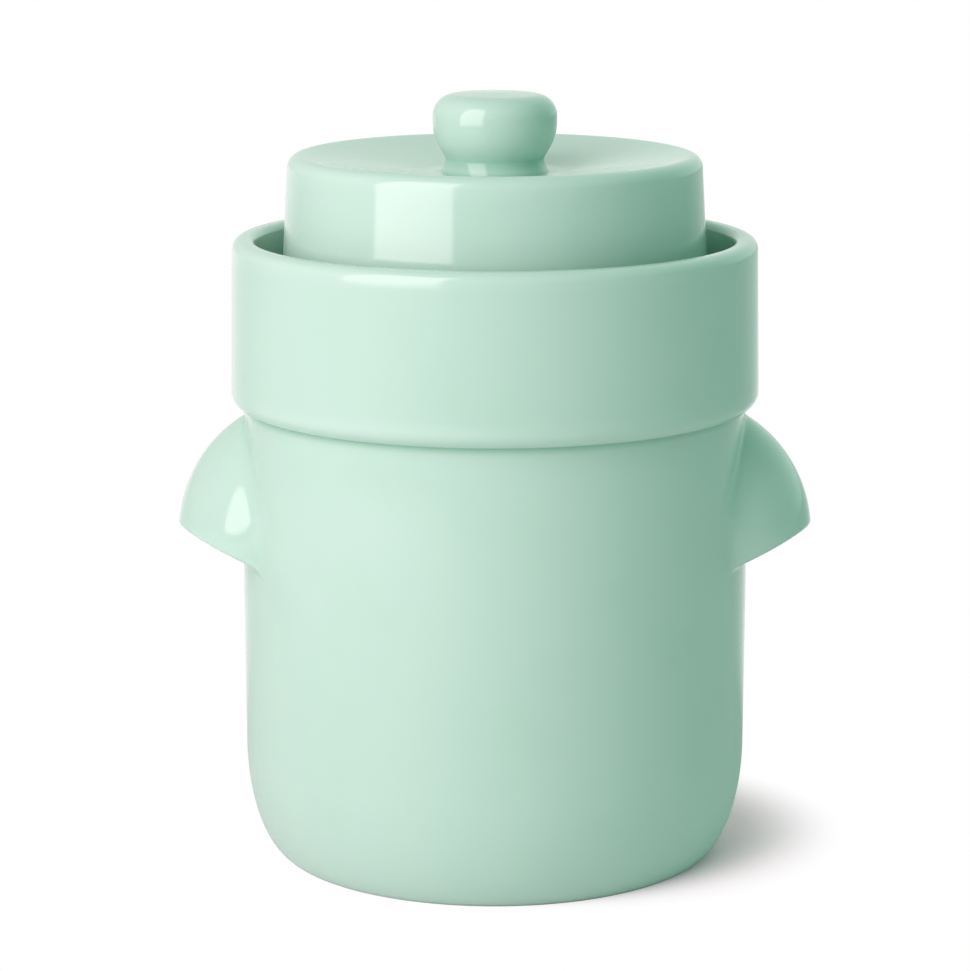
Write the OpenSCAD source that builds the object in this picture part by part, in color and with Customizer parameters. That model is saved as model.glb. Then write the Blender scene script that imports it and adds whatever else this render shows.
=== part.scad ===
// Fermentation crock: a pot with a water moat round its neck, a lid that stands in the moat,
// two lug handles and a pair of half-moon weight stones. Millimetres, +Z up.
// The origin is the middle of the foot. The handles lie along X and the front faces -Y.

/* [Pot] */
// Outside diameter of the pot at its joint with the moat ring
pot_d = 200; // [185:1:240]
// Height of that joint above the foot
pot_h = 181; // [150:1:230]
// How far the wall leans in from the joint down to the bottom rounding
wall_lean = 1.4; // [0.2:0.1:4]
// Thickness of the wall
pot_wall = 7.5; // [5:0.5:10]
// Thickness of the floor
floor_t = 8; // [6:0.5:12]
// Width of the rounding at the bottom edge
bottom_round_w = 18; // [12:1:24]
// Height of the rounding at the bottom edge
bottom_round_h = 46; // [30:1:60]
// Width of the bare ring that the crock stands on
foot_w = 9; // [5:0.5:15]
// Depth of the hollow inside that ring
foot_hollow = 1.5; // [0.5:0.5:3]

/* [Moat ring] */
// Height of the rim above the joint
collar_h = 65.7; // [50:0.1:85]
// How far the collar stands out over the pot at the joint
collar_overhang = 3.6; // [1:0.1:6]
// How far the collar leans in from its lower edge up to the rim
collar_lean = 1.1; // [0.1:0.1:4]
// Rounding of the collar's lower edge
collar_round = 6; // [2:0.5:7]
// Thickness of the rim
rim_t = 9; // [8.2:0.1:13]
// Rounding of the rim's outer edge
rim_round = 5; // [1:0.5:5.5]
// Rounding of the rim's inner edge
rim_inner_round = 3; // [1:0.5:3.5]
// Thickness of the moat's floor
moat_floor_t = 9; // [6:0.5:12]
// Fillet in the moat's outer corner
moat_fillet = 3; // [1:0.5:4]

/* [Neck ring] */
// Thickness of the neck inside the moat
neck_wall = 7; // [5:0.5:9]
// How far the neck rises above the rim
neck_rise = 5; // [0:0.5:9]
// Rounding of the neck's edges
neck_round = 2.4; // [1:0.1:2.4]
// How far the neck's foot spreads over the moat's floor, and rises
neck_foot = 3; // [1:0.5:4]
// Gap between the neck and the lid's skirt, at the top of the neck
neck_gap = 4; // [2:0.5:8]

/* [Handles] */
// How far a handle stands out from the wall at its tip
handle_reach = 25; // [18:0.5:32]
// Distance from the joint down to the top of the handle's dome, on the dome's own axis
handle_gap = 1; // [0.5:0.1:20]
// Radius of a handle at its tip, seen from above
handle_r = 42; // [36:0.5:48]
// Height of the handle's dome above the tip, on the dome's own axis
handle_h = 47.2; // [32:0.1:60]
// Slope of the underside down towards the wall, in degrees
handle_slope = 22; // [5:0.5:35]
// Thickness of a handle round its finger recess, at the tip
handle_wall = 7; // [6:0.5:11]
// Height of the finger recess above the tip, on the dome's own axis
recess_h = 28; // [15:1:30]

/* [Lid] */
// Gap between the skirt's lower edge and the inside of the collar
skirt_gap = 8; // [6.4:0.1:13.4]
// How far the crown's edge stands above the rim
lid_rise = 33; // [26:0.5:50]
// Lean of the lid's side from upright, in degrees
lid_lean = 3.2; // [0:0.1:5]
// Thickness of the skirt
lid_wall = 7; // [5:0.5:9]
// Thickness of the crown
crown_t = 8; // [6:0.5:10]
// Rounding of the crown's outer edge
crown_round = 5; // [2:0.5:7]
// Fillet inside the lid, between the skirt and the crown
crown_fillet = 5; // [2:0.5:8]
// How far the crown dips from its edge to the knob's seat
dish = 7.7; // [2:0.1:10]
// Radius of the bend between the dish and the knob's seat
dish_bend = 40; // [10:1:50]
// Rounding of the skirt's lower edges
skirt_round = 1.5; // [0.5:0.1:2.4]
// Radius of the two gas notches in the skirt's lower edge
notch_r = 8; // [7.5:0.5:12]
// Height of the gas notches
notch_h = 7; // [3:0.5:7]

/* [Knob] */
// Diameter of the knob at its widest
knob_d = 48.4; // [44:0.1:60]
// Height of the knob above its seat
knob_h = 30.8; // [27:0.1:36]
// Height above the seat at which the knob reaches its full width
knob_swell = 14.3; // [12:0.1:16]
// Drop of the knob's top from its middle to its edge
knob_crown = 1; // [0.5:0.1:3]
// Rounding of the knob's upper edge
knob_round = 8.4; // [4:0.1:10]
// Rounding of the knob below its widest place
swell_round = 12; // [2:0.5:20]
// Diameter of the knob's neck
knob_neck_d = 38; // [32:0.1:42]
// Height of the neck above the seat
knob_neck_h = 6; // [5.6:0.1:7]
// Rounding of the neck
knob_neck_round = 2; // [0.5:0.1:3.5]
// How far the knob's foot spreads beyond the neck
knob_foot_w = 4; // [3:0.1:6]
// Height of the foot's spread
knob_foot_h = 4; // [3:0.1:4.4]
// Rounding at the top of the foot
knob_foot_round = 2; // [0.4:0.1:3]
// Width of the flat round the knob's foot
seat_margin = 5; // [4:0.5:10]

/* [Weight stones] */
// Thickness of a stone
stone_t = 18; // [12:0.5:25]
// Gap between a stone's round edge and the end of the flat floor
stone_gap = 2.6; // [1:0.1:15]
// Gap between the two halves
stone_split = 3; // [1:0.5:6]
// Rounding of a stone's round edges
stone_round = 4; // [1:0.5:5.5]
// Radius of the finger hole that the two halves share
finger_hole_r = 15; // [10:0.5:20]

/* [Hidden] */
$fn = 128;
arc_steps = 8;
over = 1;
glaze = [0.74, 0.88, 0.80];
clay = [0.80, 0.74, 0.65];

pot_r = pot_d / 2;
foot_r = pot_r - wall_lean - bottom_round_w;

collar_r = pot_r + collar_overhang;
rim_r = collar_r - collar_lean;
rim_z = pot_h + collar_h;
moat_r = rim_r - rim_t;
moat_z = pot_h + moat_floor_t;
neck_z = rim_z + neck_rise;

skirt_r = moat_r - skirt_gap;
lid_z = rim_z + lid_rise;
lid_r = skirt_r - tan(lid_lean) * (lid_z - moat_z);
roof_z = lid_z - crown_t;
roof_r = skirt_r - lid_wall - tan(lid_lean) * (roof_z - moat_z);
neck_r = skirt_r - lid_wall - tan(lid_lean) * (neck_z - moat_z) - neck_gap;
mouth_r = neck_r - neck_wall;

knob_r = knob_d / 2;
knob_neck_r = knob_neck_d / 2;
knob_foot_r = knob_neck_r + knob_foot_w;
seat_r = knob_foot_r + seat_margin;
seat_z = lid_z - dish;

tip_r = pot_r + handle_reach;
tip_z = pot_h - handle_gap - handle_h;
handle_axis = tip_r - handle_r;
recess_r = handle_r - handle_wall;

stone_r = foot_r - stone_gap;

// Radius of the pot's outside on the straight part of its wall
function wall_r(z) = pot_r - wall_lean * (pot_h - z) / (pot_h - bottom_round_h);

// Height of the handles' underside at a distance from the pot's axis
function under_z(r) = tip_z + tan(handle_slope) * (r - tip_r);

function unit(v) = v / norm(v);

// Arc about mid, from one point of it to another, the short way round
function sweep(mid, from, to) =
    let (u = from - mid, w = to - mid, turn = atan2(cross(u, w), u * w))
    [for (i = [0 : arc_steps])
        let (a = turn * i / arc_steps)
        mid + [u.x * cos(a) - u.y * sin(a), u.x * sin(a) + u.y * cos(a)]];

// Arc that rounds corner b on the way from a to c
function corner(a, b, c, rad) =
    let (u = unit(a - b), w = unit(c - b), half = acos(u * w) / 2)
    sweep(b + unit(u + w) * rad / sin(half), b + u * rad / tan(half), b + w * rad / tan(half));

// Outline through corner points [radius, height, rounding]
function rounded(p) =
    let (n = len(p), q = [for (c = p) [c.x, c.y]])
    [for (i = [0 : n - 1])
        each (p[i].z > 0 ? corner(q[(i + n - 1) % n], q[i], q[(i + 1) % n], p[i].z) : [q[i]])];

// Quarter ellipse about c, from straight below it to straight outwards, or from above it where h is negative
function quarter(c, w, h) =
    [for (i = [0 : 3 * arc_steps])
        let (a = 30 * i / arc_steps)
        c + [w * sin(a), -h * cos(a)]];

function backwards(p) = [for (i = [len(p) - 1 : -1 : 0]) p[i]];

module crock_body() {
    middle = [foot_r, bottom_round_h];
    outside = quarter(middle, bottom_round_w, bottom_round_h);
    inside = quarter(middle, bottom_round_w - pot_wall, bottom_round_h - floor_t);
    foot = [[0, foot_hollow], [foot_r - foot_w, foot_hollow], [foot_r - foot_w, 0]];
    top = [[pot_r, pot_h], [pot_r - pot_wall, pot_h]];
    color(glaze)
    rotate_extrude()
    polygon(concat(foot, outside, top, backwards(inside), [[0, floor_t]]));
}

module moat_ring() {
    color(glaze)
    rotate_extrude()
    polygon(rounded([
        [collar_r, pot_h, collar_round],
        [rim_r, rim_z, rim_round],
        [moat_r, rim_z, rim_inner_round],
        [moat_r, moat_z, moat_fillet],
        [mouth_r, moat_z, 0],
        [mouth_r, pot_h, neck_round]
    ]));
}

module neck_ring() {
    color(glaze)
    rotate_extrude()
    polygon(rounded([
        [neck_r + neck_foot, moat_z, 0],
        [neck_r, moat_z + neck_foot, 0],
        [neck_r, neck_z, neck_round],
        [mouth_r, neck_z, neck_round],
        [mouth_r, moat_z, 0]
    ]));
}

// Everything inside the pot's outer wall, over the height of the handles
module wall_core() {
    low = bottom_round_h;
    rotate_extrude()
    polygon([[0, low], [wall_r(low), low], [wall_r(pot_h), pot_h], [0, pot_h]]);
}

// Everything below the cone that the handles' undersides lie on
module below_handles() {
    out_r = tip_r + over;
    low = under_z(0) - over;
    rotate_extrude()
    polygon([[0, low], [out_r, low], [out_r, under_z(out_r)], [0, under_z(0)]]);
}

// Dome of revolution on the handle's own axis, running down below the underside
module handle_dome(r, h) {
    low = under_z(0) - over;
    translate([handle_axis, 0, 0])
    rotate_extrude()
    polygon(concat([[0, low], [r, low]], backwards(quarter([0, tip_z], r, -h))));
}

module handle() {
    color(glaze)
    difference() {
        handle_dome(handle_r, handle_h);
        handle_dome(recess_r, recess_h);
        below_handles();
        wall_core();
    }
}

module left_handle() {
    mirror([1, 0, 0])
    handle();
}

module right_handle() {
    handle();
}

module lid() {
    color(glaze)
    difference() {
        rotate_extrude()
        polygon(rounded([
            [skirt_r, moat_z, skirt_round],
            [lid_r, lid_z, crown_round],
            [seat_r, seat_z, dish_bend],
            [0, seat_z, 0],
            [0, seat_z - crown_t, 0],
            [seat_r, seat_z - crown_t, dish_bend],
            [roof_r, roof_z, crown_fillet],
            [skirt_r - lid_wall, moat_z, skirt_round]
        ]));
        translate([0, 0, moat_z + notch_h - notch_r])
        rotate([90, 0, 0])
        cylinder(r = notch_r, h = 2 * moat_r, center = true);
    }
}

module lid_knob() {
    color(glaze)
    translate([0, 0, seat_z])
    rotate_extrude()
    polygon(rounded([
        [0, 0, 0],
        [knob_foot_r, 0, 0],
        [knob_neck_r, knob_foot_h, knob_foot_round],
        [knob_neck_r, knob_neck_h, knob_neck_round],
        [knob_r, knob_swell, swell_round],
        [knob_r, knob_h - knob_crown, knob_round],
        [0, knob_h, 0]
    ]));
}

// Half of a round stone with a finger hole in its middle, on the +X side
module half_stone() {
    color(clay)
    translate([0, 0, floor_t])
    difference() {
        rotate_extrude()
        polygon(rounded([
            [0, 0, 0],
            [stone_r, 0, stone_round],
            [stone_r, stone_t, stone_round],
            [0, stone_t, 0]
        ]));
        translate([-stone_r - over, -stone_r - over, -over])
        cube([stone_r + over + stone_split / 2, 2 * (stone_r + over), stone_t + 2 * over]);
        translate([0, 0, -over])
        cylinder(r = finger_hole_r, h = stone_t + 2 * over);
    }
}

module left_weight() {
    mirror([1, 0, 0])
    half_stone();
}

module right_weight() {
    half_stone();
}

crock_body();
moat_ring();
neck_ring();
left_handle();
right_handle();
lid();
lid_knob();
left_weight();
right_weight();
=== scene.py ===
"""Looks of the fermentation crock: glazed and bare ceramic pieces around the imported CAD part, in metres.

The main sizes come from the frame. Outlines are written in millimetres, as in the CAD, and scaled to
metres when a mesh is made.
"""

import math

import bpy
import numpy as np
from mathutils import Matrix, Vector


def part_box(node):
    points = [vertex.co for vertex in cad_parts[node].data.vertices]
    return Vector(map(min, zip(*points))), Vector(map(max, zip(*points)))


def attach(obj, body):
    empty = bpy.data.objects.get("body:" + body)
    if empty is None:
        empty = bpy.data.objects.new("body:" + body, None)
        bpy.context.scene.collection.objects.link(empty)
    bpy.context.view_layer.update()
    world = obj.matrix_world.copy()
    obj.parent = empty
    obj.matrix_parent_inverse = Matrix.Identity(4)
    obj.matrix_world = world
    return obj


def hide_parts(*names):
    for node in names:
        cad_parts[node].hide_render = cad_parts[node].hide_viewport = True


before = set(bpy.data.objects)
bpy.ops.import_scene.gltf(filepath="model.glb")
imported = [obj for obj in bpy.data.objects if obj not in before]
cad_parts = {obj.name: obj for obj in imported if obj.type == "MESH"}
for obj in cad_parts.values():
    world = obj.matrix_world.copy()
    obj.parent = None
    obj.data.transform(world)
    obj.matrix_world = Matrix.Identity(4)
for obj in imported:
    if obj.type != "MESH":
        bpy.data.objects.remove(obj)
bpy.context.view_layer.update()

MM = 0.001
TURN = 384  # steps round a lathed piece
ARC = 12  # steps along a rounded corner
OUTLINE_STEP = 4.0  # longest step along an outline
ON_AXIS = 1e-6  # points of an outline within this radius lie on the axis
SHARP = math.radians(50)  # edges that bend by more than this are shaded as sharp


def box_mm(node):
    low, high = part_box(node)
    return low / MM, high / MM


# Sizes in millimetres
_, pot_top = box_mm("crock_body")
_, neck_top = box_mm("neck_ring")
_, handle_high = box_mm("right_handle")
lid_low, _ = box_mm("lid")
knob_low, knob_high = box_mm("lid_knob")
stone_low, stone_high = box_mm("right_weight")

# Pot
pot_r, pot_h = pot_top.x, pot_top.z
wall_lean, pot_wall, floor_t = 1.0, 7.5, stone_low.z
round_w, round_h = 18.4, 46.0
foot_r = pot_r - wall_lean - round_w
foot_w, foot_hollow, foot_round = 9.0, 1.5, 0.5
draw_w, draw_h = 2.5, 81.0  # the wall draws in over this height below the collar
lip_r = pot_r - draw_w
bare_h = 0.6  # height of the bare clay on the pot's foot and on the edge that the lid stands on

# Collar and moat
neck_z, moat_z = neck_top.z, lid_low.z
neck_rise, collar_overhang, collar_lean, rim_t = 5.0, 3.58, 1.1, 9.0
rim_z = neck_z - neck_rise
collar_r = pot_r + collar_overhang
rim_r = collar_r - collar_lean
moat_r = rim_r - rim_t
collar_round, rim_round, rim_inner_round, moat_fillet = 6.0, 4.3, 3.0, 3.0
moat_shade_margin, moat_shade_start, moat_shade_fall = 1.0, 3.0, 30.0  # painted shade deepens the glaze colour from this far below the rim, down into the moat

# Lid
skirt_gap, lid_wall, lid_rise = 8.0, 7.0, 33.0
skirt_r, lid_z = moat_r - skirt_gap, rim_z + lid_rise
lid_lean = math.tan(math.radians(3.2))
crown_t, crown_round, crown_fillet, dish_bend, skirt_round = 8.0, 5.0, 5.0, 40.0, 1.5
lid_r = skirt_r - lid_lean * (lid_z - moat_z)
roof_z = lid_z - crown_t
roof_r = skirt_r - lid_wall - lid_lean * (roof_z - moat_z)
notch_r, notch_h, notch_fade = 8.0, 7.0, 16.0
notch_steps, notch_reach, notch_clear = 64, 1.15, 1.2  # finer steps round the lid at a notch

# Neck
neck_gap, neck_wall, neck_foot, neck_round = 4.0, 7.0, 3.0, 2.4
neck_r = skirt_r - lid_wall - lid_lean * (neck_z - moat_z) - neck_gap
mouth_r = neck_r - neck_wall

# Knob
knob_r, seat_z, knob_top = knob_high.x, knob_low.z, knob_high.z
knob_neck_r, knob_neck_h, knob_foot_w = 19.2, 5.5, 1.9
knob_swell, knob_crown = 14.3, 1.0
knob_round, swell_round = 8.4, 20.0
seat_r = 28.0

# Handles
tip_r, tip_drop = handle_high.x, 47.5
tip_z = pot_h - tip_drop
handle_r, handle_h, handle_bow = 42.0, 48.8, 10.4
handle_axis = tip_r - handle_r
handle_slope = math.tan(math.radians(25.0))
under_arch, under_span, under_bend = 0.135, 38.0, 8.0  # keeps the lower edge level round the tip
recess_r, recess_h, recess_bow = 35.0, 28.0, 9.1
under_round, recess_round = 1.3, 2.6
fillet_z = (tip_z - 15.0, tip_z + 9.0, tip_z + 34.0)
fillet_size = (3.5, 11.0, 3.0)  # clay drawn out from a handle onto the wall, at those heights
tuck, sink = 0.008, 0.05  # a handle's thin edge dips under the wall's surface
root, edge_reach, root_round, edge_round = 3.0, 3.0, 2.0, 1.5  # its hidden root stands in the wall
net_low, net_margin, net_step = (74.0, -60.0, 104.0), 3.0, 0.75
settle_steps, nudge, least_slope = 4, 0.05, 0.2
bend_reach, bend_gain = 2.0, 0.25

# Weight stones
stone_r, stone_split, finger_r = stone_high.x, stone_low.x, 15.0
stone_bottom, stone_top = stone_low.z, stone_high.z
stone_round, stone_edge, stone_fade = 4.0, 1.5, 16.0  # the rounding grows from the corners over stone_fade
stone_steps, finger_steps, plan_step, plan_blur, edge_steps = 240, 48, 1.0, 3, 7
on_round = 0.5  # points of the plan this close to its outer radius lie on the round side


# Outlines: points (radius, height), with the material on the left of the way round

def arc(mid, start, end, steps=ARC):
    """Arc about mid from start to end, the short way round."""
    u, w = start - mid, end - mid
    turn = math.atan2(u.x * w.y - u.y * w.x, u.dot(w))
    points = []
    for i in range(steps + 1):
        c, s = math.cos(turn * i / steps), math.sin(turn * i / steps)
        points.append(mid + Vector((u.x * c - u.y * s, u.x * s + u.y * c)))
    return points


def rounded(corners):
    """Closed outline through corners (radius, height, rounding)."""
    points = []
    for i, (r, z, size) in enumerate(corners):
        b = Vector((r, z))
        if size == 0:
            points.append(b)
            continue
        u = (Vector(corners[i - 1][:2]) - b).normalized()
        w = (Vector(corners[(i + 1) % len(corners)][:2]) - b).normalized()
        half = math.acos(u.dot(w)) / 2
        reach = size / math.tan(half)
        points += arc(b + (u + w).normalized() * size / math.sin(half), b + u * reach, b + w * reach)
    return points


def quarter(mid, w, h, steps=3 * ARC):
    """Quarter ellipse about mid, from straight below it to straight outwards."""
    turns = [math.pi / 2 * i / steps for i in range(steps + 1)]
    return [Vector((mid[0] + w * math.sin(a), mid[1] - h * math.cos(a))) for a in turns]


def dense(points, step):
    """The same outline with no two neighbours further apart than step."""
    full = []
    for a, b in zip(points, points[1:] + points[:1]):
        n = max(1, math.ceil((b - a).length / step))
        full += [a.lerp(b, i / n) for i in range(n)]
    return full


def wall_radius(z):
    """Radius of the pot's wall at heights above the round of its foot."""
    lean = wall_lean * (pot_h - z) / (pot_h - round_h)
    return pot_r - lean - draw_w * np.maximum(1 - (pot_h - z) / draw_h, 0) ** 2


def pot_outline():
    middle = (foot_r, round_h)
    inner = foot_r - foot_w
    foot = rounded([
        (0, foot_hollow, 0),
        (inner, foot_hollow, foot_round),
        (inner, 0, foot_round),
        (foot_r, 0, 0),
    ])
    wall = quarter(middle, round_w, round_h)
    wall += [Vector((wall_radius(z), z)) for z in np.linspace(round_h, pot_h, 4 * ARC)[1:]]
    inside = quarter(middle, round_w - pot_wall, round_h - floor_t)
    return foot[:-1] + wall + [Vector((pot_r - pot_wall, pot_h))] + inside[::-1] + [Vector((0, floor_t))]


def ring_outline():
    return rounded([
        (collar_r, pot_h, collar_round),
        (rim_r, rim_z, rim_round),
        (moat_r, rim_z, rim_inner_round),
        (moat_r, moat_z, moat_fillet),
        (mouth_r, moat_z, 0),
        (mouth_r, pot_h, neck_round),
    ])


def neck_outline():
    foot = Vector((neck_r + neck_foot, moat_z))
    flare = arc(foot + Vector((0, neck_foot)), foot, foot + Vector((-neck_foot, neck_foot)))
    top = rounded([
        (neck_r, moat_z + neck_foot, 0),
        (neck_r, neck_z, neck_round),
        (mouth_r, neck_z, neck_round),
        (mouth_r, moat_z, 0),
    ])
    return flare + top[1:]


def lid_outline():
    return rounded([
        (skirt_r, moat_z, skirt_round),
        (lid_r, lid_z, crown_round),
        (seat_r, seat_z, dish_bend),
        (0, seat_z, 0),
        (0, seat_z - crown_t, 0),
        (seat_r, seat_z - crown_t, dish_bend),
        (roof_r, roof_z, crown_fillet),
        (skirt_r - lid_wall, moat_z, skirt_round),
    ])


def knob_outline():
    share = [i / ARC for i in range(ARC)]
    flare = [Vector((knob_neck_r + knob_foot_w * (1 - t) ** 2, seat_z + knob_neck_h * t)) for t in share]
    body = rounded([
        (knob_neck_r, seat_z + knob_neck_h, 0),
        (knob_r, seat_z + knob_swell, swell_round),
        (knob_r, knob_top - knob_crown, knob_round),
        (0, knob_top, 0),
    ])
    return [Vector((0, seat_z))] + flare + body


# Meshes. Each carries how thick the glaze lies: 0 on edges, 0.5 on plain walls, 1 in hollows, joints and the
# moat, where the deeper colour is partly pooled glaze and partly painted shade

# Joints where the deep colour goes, partly as pooled glaze and partly as painted shade in the crease
JOINTS = [(lip_r, pot_h), (knob_neck_r + knob_foot_w, seat_z), (neck_r + neck_foot, moat_z)]


def painted_moat_shade(p):
    """Least glaze depth at a point of an outline, which paints shade in the moat.

    In the moat it grows from the rim down, so the glaze colour darkens as painted shade down into the moat.
    """
    inside = neck_r - moat_shade_margin < p.x < moat_r + moat_shade_margin
    return min(0.5 + max(rim_z - moat_shade_start - p.y, 0) / moat_shade_fall, 1) if inside else 0


def add_object(name, data):
    obj = bpy.data.objects.new(name, data)
    bpy.context.scene.collection.objects.link(obj)
    return obj


def add_mesh(name, verts, faces, depth):
    """Mesh object from vertices in millimetres and the depth of their glaze."""
    mesh = bpy.data.meshes.new(name)
    mesh.from_pydata((np.asarray(verts) * MM).tolist(), [], faces)
    attribute = mesh.attributes.new("glaze_depth_and_shade", "FLOAT", "POINT")
    attribute.data.foreach_set("value", np.asarray(depth, np.float32))
    mesh.shade_smooth()
    mesh.set_sharp_from_angle(angle=SHARP)
    return add_object(name, mesh)


def outline_depth_and_shade(outline, reach=2.5, joint_reach=1.2):
    """Glaze depth along an outline, from how much it turns within reach of each point: thin over edges, deep
    in hollows.

    The joints are made deep too. The deep colour of hollows and joints is partly pooled glaze and partly
    painted shade.
    """
    p = np.array([tuple(v) for v in outline])
    ahead = np.roll(p, -1, 0) - p
    behind = p - np.roll(p, 1, 0)
    turn = np.arctan2(behind[:, 0] * ahead[:, 1] - behind[:, 1] * ahead[:, 0], (behind * ahead).sum(1))
    turn[p[:, 0] < ON_AXIS] = 0
    far = np.linalg.norm(p[:, None] - p[None], axis=2)
    joint = np.linalg.norm(p[:, None] - np.array(JOINTS)[None], axis=2).min(1)
    turn[joint < reach] = 0
    bend = (np.exp(-(far / reach) ** 2) * turn[None]).sum(1)
    return 0.5 - 0.5 * np.tanh(bend - np.exp(-(joint / joint_reach) ** 2))


def lathe(name, outline, turns=None, heights=None, painted_shade=None):
    """Outline turned about the Z axis.

    heights takes the vertices and gives their new heights. painted_shade gives the least glaze depth at a
    point, which paints shade.
    """
    outline = dense(outline, OUTLINE_STEP)
    turns = np.linspace(0, 2 * math.pi, TURN, endpoint=False) if turns is None else turns
    count = len(turns)
    verts, depth, rows = [], [], []
    for p, d in zip(outline, outline_depth_and_shade(outline)):
        d = max(d, painted_shade(p)) if painted_shade else d
        start = len(verts)
        if p.x < ON_AXIS:
            verts.append((0, 0, p.y))
            rows.append([start] * count)
        else:
            verts += [(p.x * math.cos(a), p.x * math.sin(a), p.y) for a in turns]
            rows.append(range(start, start + count))
        depth += [d] * (len(verts) - start)
    faces = []
    for here, there in zip(rows, rows[1:] + rows[:1]):
        if here[0] == here[1] and there[0] == there[1]:
            continue
        for i in range(count):
            j = (i + 1) % count
            faces.append(tuple(dict.fromkeys((here[i], here[j], there[j], there[i]))))
    verts = np.array(verts, float)
    if heights:
        verts[:, 2] = heights(verts)
    return add_mesh(name, verts, faces, depth)


def notch_turns():
    """Angles round the lid, closer together at the gas notches in front and behind."""
    close = np.linspace(-notch_reach, notch_reach, notch_steps) * notch_r / skirt_r
    turns = np.linspace(0, 2 * math.pi, TURN, endpoint=False)
    for middle in (math.pi / 2, 3 * math.pi / 2):
        turns = np.concatenate([turns[np.abs(turns - middle) > notch_clear * close[-1]], middle + close])
    return np.sort(turns)


def notch_heights(verts):
    """Heights of the lid's vertices, with the skirt's lower edge raised over the two gas notches."""
    x, y, z = verts.T
    rise = np.maximum(np.sqrt(np.maximum(notch_r**2 - x**2, 0)) + notch_h - notch_r, 0)
    fade = np.clip(1 - (z - moat_z) / notch_fade, 0, 1)
    return z + np.where(np.abs(y) > skirt_r / 2, rise * fade, 0)


# The shape of a handle, as distances that are negative inside

def smooth_min(a, b, size):
    h = np.maximum(1 - np.abs(a - b) / size, 0)
    return np.minimum(a, b) - h**3 * size / 6


def smooth_max(a, b, size):
    return -smooth_min(-a, -b, size)


def dome_distance(x, y, z, r, h, s):
    """Distance from a dome on the handle's own axis.

    The dome has radius r at the tip's height and rises by h. Its side bows out by s.
    """
    half = math.hypot(r, h) / 2
    rad = (half * half + s * s) / (2 * s)
    mid_r = r / 2 + h / (2 * half) * (s - rad)
    mid_z = tip_z + h / 2 + r / (2 * half) * (s - rad)
    return np.hypot(np.hypot(x - handle_axis, y) - mid_r, z - mid_z) - rad


def handle_distance(x, y, z, trim=True):
    """Distance from a handle with its fillets.

    trim cuts it off behind the wall's surface, a little way beyond its fillets and under the collar.
    """
    r = np.hypot(x, y)
    wall = r - wall_radius(z)
    dome = dome_distance(x, y, z, handle_r, handle_h, handle_bow)
    recess = dome_distance(x, y, z, recess_r, recess_h, recess_bow)
    aside = np.hypot(y, under_bend) - under_bend
    under_z = tip_z + handle_slope * (r - tip_r) + under_arch * aside * (1 - aside / under_span)
    under = (under_z - z) / math.hypot(1, handle_slope)
    lug = smooth_max(smooth_max(dome, under, under_round), -recess, recess_round)
    fillet = np.interp(z, fillet_z, fillet_size)
    skin = smooth_min(wall, lug, fillet) + tuck + sink * np.maximum(lug - fillet, 0)
    edge = smooth_max(lug - fillet - edge_reach, -wall - root, root_round)
    return smooth_max(skin, smooth_max(edge, z - pot_h, root_round), edge_round) if trim else skin


def surface_net(field, low, step):
    """Quad mesh round the cells in which the field changes sign.

    The field is sampled from low in equal steps.
    """
    shape = np.array(field.shape) - 1
    total, hits, quads = np.zeros((*shape, 3)), np.zeros(shape), []
    index = np.arange(shape.prod()).reshape(shape)
    inside = field < 0
    for axis in range(3):
        u, w = (axis + 1) % 3, (axis + 2) % 3
        ends = [slice(None, -1) if a == axis else slice(None) for a in range(3)]
        starts = [slice(1, None) if a == axis else slice(None) for a in range(3)]
        a, b = field[tuple(ends)], field[tuple(starts)]
        cross = (a < 0) != (b < 0)
        at = np.argwhere(cross)
        point = at + (a[cross] / (a[cross] - b[cross]))[:, None] * np.eye(3)[axis]
        loop = []
        for back_u, back_w in ((0, 0), (1, 0), (1, 1), (0, 1)):
            cell = at.copy()
            cell[:, u] -= back_u
            cell[:, w] -= back_w
            np.add.at(total, tuple(cell.T), point)
            np.add.at(hits, tuple(cell.T), 1)
            loop.append(index[tuple(cell.T)])
        loop = np.array(loop).T
        flip = inside[tuple(starts)][cross]
        loop[flip] = loop[flip, ::-1]
        quads.append(loop)
    used = hits > 0
    number = np.zeros(shape.prod(), int)
    number[index[used]] = np.arange(used.sum())
    return total[used] / hits[used][:, None] * step + low, number[np.concatenate(quads)]


def handle(name, side):
    """Lug handle, on the right where side is 1 and on the left where it is -1."""
    net_high = (tip_r + net_margin, -net_low[1], pot_h + net_margin)
    axes = [np.arange(a, b + net_step, net_step) for a, b in zip(net_low, net_high)]
    field = handle_distance(*np.meshgrid(*axes, indexing="ij"))
    verts, quads = surface_net(field, net_low, net_step)
    for _ in range(settle_steps):  # moves the vertices onto the surface
        here = handle_distance(*verts.T)
        shifts = np.eye(3) * nudge
        change = [handle_distance(*(verts + d).T) - handle_distance(*(verts - d).T) for d in shifts]
        slope = np.array(change).T / (2 * nudge)
        move = (here / np.maximum((slope**2).sum(1), least_slope))[:, None] * slope
        verts = verts - np.clip(move, -net_step / 3, net_step / 3)
    # Glaze depth from how the surface bends: deeper in the fillets, partly as pooled glaze and partly as
    # painted shade in the creases
    spread = np.eye(3) * bend_reach
    near = [handle_distance(*(verts + sign * d).T, trim=False) for d in spread for sign in (-1, 1)]
    bend = sum(near) - len(near) * handle_distance(*verts.T, trim=False)
    depth = 0.5 - 0.5 * np.tanh(bend_gain * bend)
    if side < 0:
        verts, quads = verts * [-1, 1, 1], quads[:, ::-1]
    return add_mesh(name, verts, quads.tolist(), depth)


def blur(values, width):
    """Values round a closed loop, each averaged with its neighbours."""
    steps = np.arange(-3 * width, 3 * width + 1)
    weights = np.exp(-0.5 * (steps / width) ** 2)
    return sum(np.roll(values, s, 0) * w for s, w in zip(steps, weights)) / weights.sum()


def bow(r, start, end, steps):
    """Points of a circle about the Z axis, from one angle to another."""
    return [Vector((r * math.cos(a), r * math.sin(a))) for a in np.linspace(start, end, steps)]


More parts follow.
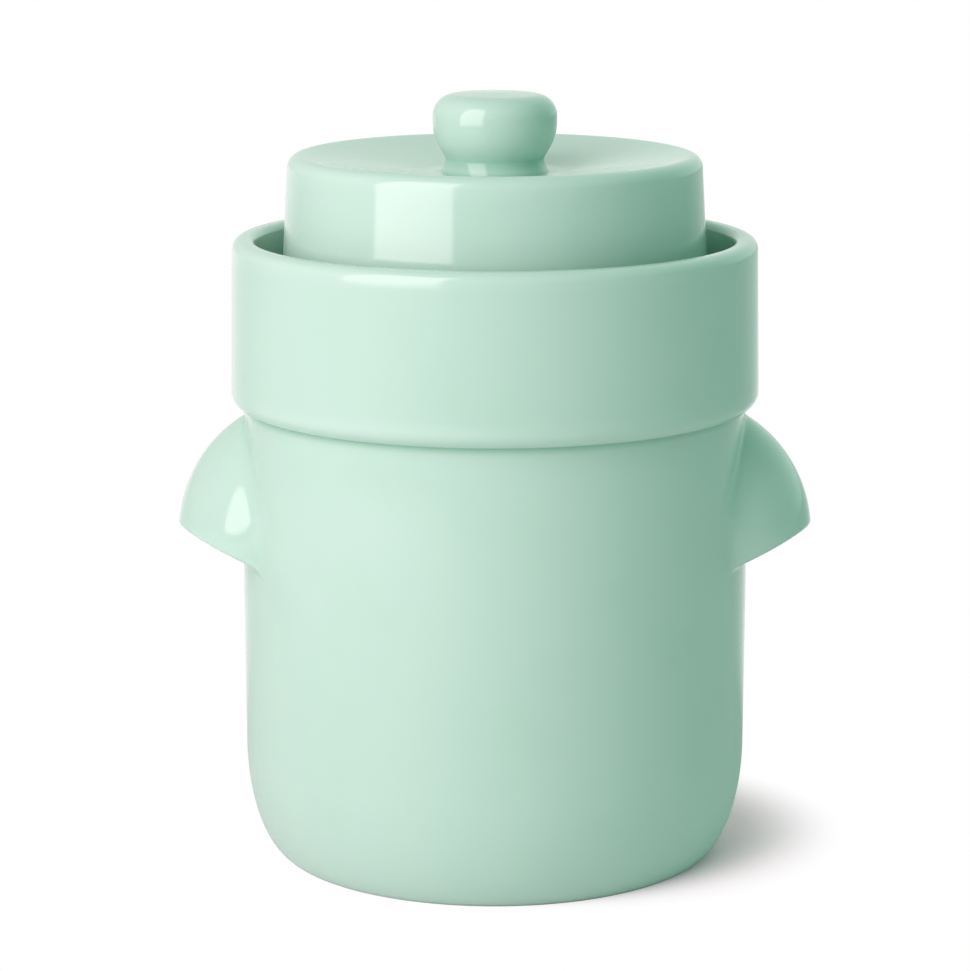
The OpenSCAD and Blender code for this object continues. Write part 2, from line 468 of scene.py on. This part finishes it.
def stone(name, side):
    """Half-moon stone with half of the finger hole in its straight side, on the right or left as a handle."""
    far = math.acos(stone_split / stone_r)
    near = math.acos(stone_split / finger_r)
    corners = bow(stone_r, -far, far, stone_steps) + bow(finger_r, near, -near, finger_steps)
    plan = np.array([tuple(p) for p in dense(corners, plan_step)])
    outer = np.hypot(*plan.T) > stone_r - on_round
    full = np.clip((plan[:, 0] - stone_split) / stone_fade, 0, 1) * outer
    size = blur(stone_edge + (stone_round - stone_edge) * full, plan_blur)
    plan = blur(plan, plan_blur)
    along = np.roll(plan, -1, 0) - np.roll(plan, 1, 0)
    inwards = np.stack([-along[:, 1], along[:, 0]], 1) / np.linalg.norm(along, axis=1)[:, None]
    count = len(plan)
    layers = []
    for top in (False, True):
        for a in np.linspace(0, math.pi / 2, edge_steps):
            a = math.pi / 2 - a if top else a
            flat = plan + inwards * (size * (1 - math.sin(a)))[:, None]
            lift = size * (1 - math.cos(a))
            layers.append(np.column_stack([flat, stone_top - lift if top else stone_bottom + lift]))
    verts = np.concatenate(layers)
    faces = [tuple(range(count))[::-1], tuple(range(len(verts) - count, len(verts)))]
    for k in range(len(layers) - 1):
        for i in range(count):
            j = (i + 1) % count
            faces.append((k * count + i, k * count + j, (k + 1) * count + j, (k + 1) * count + i))
    if side < 0:
        verts, faces = verts * [-1, 1, 1], [f[::-1] for f in faces]
    return add_mesh(name, verts, faces, np.full(len(verts), 0.5))


# Materials

def srgb(*levels):
    """Linear colour from sRGB levels of 0 to 255."""
    shares = [v / 255 for v in levels]
    return tuple(s / 12.92 if s < 0.0404 else ((s + 0.055) / 1.055) ** 2.4 for s in shares) + (1.0,)


BLACK, WHITE = (0.0, 0.0, 0.0, 1.0), (1.0, 1.0, 1.0, 1.0)
# The deepest colour is for hollows, joints and the moat: partly pooled glaze, partly painted shade.
GLAZE_THIN, GLAZE, GLAZE_POOL_AND_SHADE = srgb(200, 226, 213), srgb(194, 222, 208), srgb(150, 200, 176)
GLAZE_UNEVEN = 0.22  # how much the depth of the glaze varies by itself
CLAY_DARK, CLAY_PALE, CLAY_GRAIN = srgb(198, 180, 152), srgb(217, 203, 178), srgb(150, 126, 98)


class Nodes:
    """Short forms for building a node tree."""

    def __init__(self, owner):
        owner.use_nodes = True
        self.tree = owner.node_tree
        self.tree.nodes.clear()

    def add(self, kind, inputs=None, **settings):
        node = self.tree.nodes.new(kind)
        for key, value in settings.items():
            setattr(node, key, value)
        for key, value in (inputs or {}).items():
            if isinstance(value, bpy.types.NodeSocket):
                self.tree.links.new(value, node.inputs[key])
            else:
                node.inputs[key].default_value = value
        return node

    def maths(self, operation, *values):
        return self.add("ShaderNodeMath", dict(enumerate(values)), operation=operation).outputs[0]

    def vector(self, operation, *values, **inputs):
        return self.add("ShaderNodeVectorMath", dict(enumerate(values)) | inputs, operation=operation).outputs

    def step(self, value, low, high):
        """0 below low, 1 above high and smooth between."""
        inputs = {"Value": value, 1: low, 2: high}
        return self.add("ShaderNodeMapRange", inputs, interpolation_type="SMOOTHSTEP").outputs[0]

    def noise(self, place, scale, detail, roughness=0.5):
        inputs = {"Vector": place, "Scale": scale, "Detail": detail, "Roughness": roughness}
        return self.add("ShaderNodeTexNoise", inputs).outputs["Fac"]

    def bump(self, height, strength, distance):
        inputs = {"Height": height, "Strength": strength, "Distance": distance}
        return self.add("ShaderNodeBump", inputs).outputs["Normal"]

    def ramp(self, factor, *stops):
        node = self.add("ShaderNodeValToRGB", {"Fac": factor})
        steps = node.color_ramp.elements
        while len(steps) < len(stops):
            steps.new(0.5)
        for step, (place, colour) in zip(steps, stops):
            step.position, step.color = place, colour
        return node.outputs["Color"]

    def surface(self, **inputs):
        """Principled shader on the material's output. A name's _ stands for a space."""
        inputs = {key.replace("_", " "): value for key, value in inputs.items()}
        shader = self.add("ShaderNodeBsdfPrincipled", inputs)
        self.add("ShaderNodeOutputMaterial", {"Surface": shader.outputs["BSDF"]})


def glaze_material():
    """Glossy mint glaze: paler where it thins over edges, deeper in hollows, joints and the moat, partly as
    pooled glaze and partly as painted shade, and never quite even.
    """
    material = bpy.data.materials.new("mint_glaze")
    nodes = Nodes(material)
    place = nodes.add("ShaderNodeTexCoord").outputs["Object"]
    # the glaze's depth on the mesh, which also carries painted shade in hollows, joints and the moat
    depth = nodes.add("ShaderNodeAttribute", attribute_name="glaze_depth_and_shade").outputs["Fac"]
    cloud = nodes.noise(place, scale=22.0, detail=3.0)
    uneven = nodes.maths("MULTIPLY_ADD", cloud, GLAZE_UNEVEN, -GLAZE_UNEVEN / 2)
    total = nodes.maths("ADD", depth, uneven)
    colour = nodes.ramp(total, (0.0, GLAZE_THIN), (0.5, GLAZE), (1.0, GLAZE_POOL_AND_SHADE))
    ripple = nodes.bump(nodes.noise(place, scale=45.0, detail=2.0), strength=0.03, distance=0.002)
    nodes.surface(Base_Color=colour, Roughness=0.1, IOR=1.52, Normal=ripple)
    return material


def clay_material():
    """Bare stoneware with fine dark grains."""
    material = bpy.data.materials.new("bare_stoneware")
    nodes = Nodes(material)
    place = nodes.add("ShaderNodeTexCoord").outputs["Object"]
    cloud = nodes.noise(place, scale=60.0, detail=6.0, roughness=0.6)
    body = nodes.ramp(cloud, (0.3, CLAY_DARK), (0.7, CLAY_PALE))
    grain = nodes.add("ShaderNodeTexVoronoi", {"Vector": place, "Scale": 700.0}).outputs["Distance"]
    speck = nodes.ramp(grain, (0.1, WHITE), (0.22, BLACK))
    colour = nodes.add("ShaderNodeMix", {0: speck, 6: body, 7: CLAY_GRAIN}, data_type="RGBA").outputs[2]
    rough = nodes.bump(nodes.noise(place, scale=900.0, detail=4.0), strength=0.25, distance=0.0004)
    nodes.surface(Base_Color=colour, Roughness=0.8, Normal=rough)
    return material


mint_glaze = glaze_material()
bare_stoneware = clay_material()


# Pieces

def finish_piece(obj, body, node, material, bare=None):
    """Gives a piece its materials and its place in the frame. bare picks the faces that carry no glaze."""
    obj.data.materials.append(material)
    if bare:
        obj.data.materials.append(bare_stoneware)
        for face in obj.data.polygons:
            face.material_index = int(bare(face.center / MM))
    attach(obj, body)
    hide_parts(node)


pot = lathe("pot", pot_outline())
finish_piece(pot, "crock", "crock_body", mint_glaze, lambda c: c.z < bare_h)
# The moat's glaze darkens from the rim down as painted shade.
moat = lathe("collar_and_moat_floor", ring_outline(), painted_shade=painted_moat_shade)
finish_piece(moat, "crock", "moat_ring", mint_glaze)
neck = lathe("neck", neck_outline(), painted_shade=painted_moat_shade)
finish_piece(neck, "crock", "neck_ring", mint_glaze)
left_lug = handle("left_lug", -1)
finish_piece(left_lug, "crock", "left_handle", mint_glaze)
right_lug = handle("right_lug", 1)
finish_piece(right_lug, "crock", "right_handle", mint_glaze)
cover = lathe("cover", lid_outline(), notch_turns(), notch_heights)
finish_piece(cover, "lid", "lid", mint_glaze, lambda c: c.z < moat_z + bare_h)
knob = lathe("knob", knob_outline())
finish_piece(knob, "lid", "lid_knob", mint_glaze)
left_stone = stone("left_stone", -1)
finish_piece(left_stone, "left_weight", "left_weight", bare_stoneware)
right_stone = stone("right_stone", 1)
finish_piece(right_stone, "right_weight", "right_weight", bare_stoneware)


# Stage: floor, lamp, world and camera, in metres

FLOOR_MID, FLOOR_HALF = Vector((0, 2, 0)), 8.0
FLOOR_PLAIN, FLOOR_SEEN = (0.85, 0.85, 0.85, 1), (1.34, 0.92, 1.03, 1)
SHADOW_MID, SHADOW_FADE = (0.030, 0.024, 0), (0.066, 0.114)  # the shadow fades out between these distances
BEHIND_AWAY, BEHIND_TURN = (0.05, 0.4), (0.42, 0.95)  # distances and angles of the floor behind the crock
RIGHT_FADE, RIGHT_LOSS = (0.0, 0.8), 0.6  # mirror images of that floor are less white on the right

KEY_TURN, KEY_AWAY, KEY_Z = math.radians(44), 1.3, 1.17
KEY_W, KEY_H, KEY_LIGHT, KEY_COLOUR = 1.05, 2.04, 3.05, (1.0, 0.84, 0.9)

WORLD_LOBES = (  # direction, narrowness, colour
    ((-1, 0, 0), 2, (0.24, 0.24, 0.24)),
    ((1, 0, 0), 2, (0.0, 0.26, 0.19)),
    ((0, -1, 0), 2, (0.305, 0.485, 0.43)),
    ((0, 1, 0), 2, (0.82, 0.89, 0.84)),
    ((0, 0, 1), 2, (0.37, 0.53, 0.46)),
    ((0.74, 0.65, 0.17), 8, (0.44, 0.55, 0.46)),
)

FRAME_W, FRAME_H = 970, 971  # size of the photograph, in pixels
FOCAL, MIDDLE_X = 3763.96, 494.847  # focal length and the crock's middle line, in pixels
CAMERA_AT, CAMERA_DOWN, SENSOR = (0, -1.4584, 0.44283), 11.451, 36.0


def floor_material():
    """Pale floor that keeps the crock's shadow.

    Away from the shadow it is plain white to the eye, and behind the crock in mirror images too.
    """
    material = bpy.data.materials.new("floor")
    nodes = Nodes(material)
    path = nodes.add("ShaderNodeLightPath").outputs
    place = nodes.add("ShaderNodeTexCoord").outputs["Object"]
    part = nodes.add("ShaderNodeSeparateXYZ", {0: place}).outputs
    away = nodes.vector("LENGTH", place)["Value"]
    turn = nodes.maths("ABSOLUTE", nodes.maths("ARCTAN2", part["X"], part["Y"]))
    behind = nodes.maths("SUBTRACT", nodes.step(away, *BEHIND_AWAY), nodes.step(turn, *BEHIND_TURN))
    loss = nodes.maths("MULTIPLY", nodes.step(part["X"], *RIGHT_FADE), RIGHT_LOSS)
    image = nodes.maths("MAXIMUM", path["Is Glossy Ray"], path["Is Transmission Ray"])
    whiteness = nodes.maths("MULTIPLY", behind, nodes.maths("SUBTRACT", 1.0, loss))
    mirrored = nodes.maths("MULTIPLY", image, whiteness)
    fade = nodes.vector("DISTANCE", place, SHADOW_MID)["Value"]
    eye = nodes.maths("MULTIPLY", path["Is Camera Ray"], nodes.step(fade, *SHADOW_FADE))
    far = nodes.maths("MAXIMUM", eye, mirrored)

    plain = nodes.add("ShaderNodeBsdfDiffuse", {"Color": FLOOR_PLAIN}).outputs[0]
    seen = nodes.add("ShaderNodeBsdfDiffuse", {"Color": FLOOR_SEEN}).outputs[0]
    white = nodes.add("ShaderNodeEmission", {"Color": WHITE, "Strength": 1.0}).outputs[0]
    floor = nodes.add("ShaderNodeMixShader", {0: path["Is Camera Ray"], 1: plain, 2: seen}).outputs[0]
    shown = nodes.add("ShaderNodeMixShader", {0: far, 1: floor, 2: white}).outputs[0]
    nodes.add("ShaderNodeOutputMaterial", {"Surface": shown})
    return material


def add_floor():
    a, b = Vector((FLOOR_HALF, 0, 0)), Vector((0, FLOOR_HALF, 0))
    mesh = bpy.data.meshes.new("floor")
    corners = [FLOOR_MID - a - b, FLOOR_MID + a - b, FLOOR_MID + a + b, FLOOR_MID - a + b]
    mesh.from_pydata(corners, [], [(0, 1, 2, 3)])
    mesh.materials.append(floor_material())
    add_object("floor", mesh)


def add_key():
    """Upright softbox in front of the crock on the left, level with its own middle."""
    lamp = bpy.data.lights.new("key", "AREA")
    lamp.shape, lamp.size, lamp.size_y = "RECTANGLE", KEY_W, KEY_H
    lamp.energy = KEY_LIGHT * 4 * KEY_W * KEY_H
    lamp.color = KEY_COLOUR
    obj = add_object("key", lamp)
    obj.location = (-KEY_AWAY * math.sin(KEY_TURN), -KEY_AWAY * math.cos(KEY_TURN), KEY_Z)
    obj.rotation_euler = (Vector((0, 0, KEY_Z)) - obj.location).to_track_quat("-Z", "Y").to_euler()


def studio_world():
    """World of soft lobes of light, each brightest towards its own direction."""
    world = bpy.data.worlds.new("studio")
    nodes = Nodes(world)
    way = nodes.add("ShaderNodeTexCoord").outputs["Generated"]
    total = (0.0, 0.0, 0.0)
    for toward, power, colour in WORLD_LOBES:
        facing = nodes.vector("DOT_PRODUCT", way, toward)["Value"]
        share = nodes.maths("POWER", nodes.maths("MAXIMUM", facing, 0.0), power)
        total = nodes.vector("ADD", total, nodes.vector("SCALE", colour, Scale=share)[0])[0]
    light = nodes.add("ShaderNodeBackground", {"Color": total, "Strength": 1.0})
    nodes.add("ShaderNodeOutputWorld", {"Surface": light.outputs[0]})
    return world


def photo_camera():
    camera = add_object("camera", bpy.data.cameras.new("camera"))
    camera.location = CAMERA_AT
    camera.rotation_euler = (math.radians(90 - CAMERA_DOWN), 0, 0)
    camera.data.sensor_width = SENSOR
    camera.data.lens = FOCAL / FRAME_H * SENSOR
    camera.data.shift_x = (FRAME_W / 2 - MIDDLE_X) / FRAME_H
    return camera


add_floor()
add_key()
bpy.context.scene.world = studio_world()
bpy.context.scene.camera = photo_camera()
bpy.context.scene.view_settings.view_transform = "Standard"
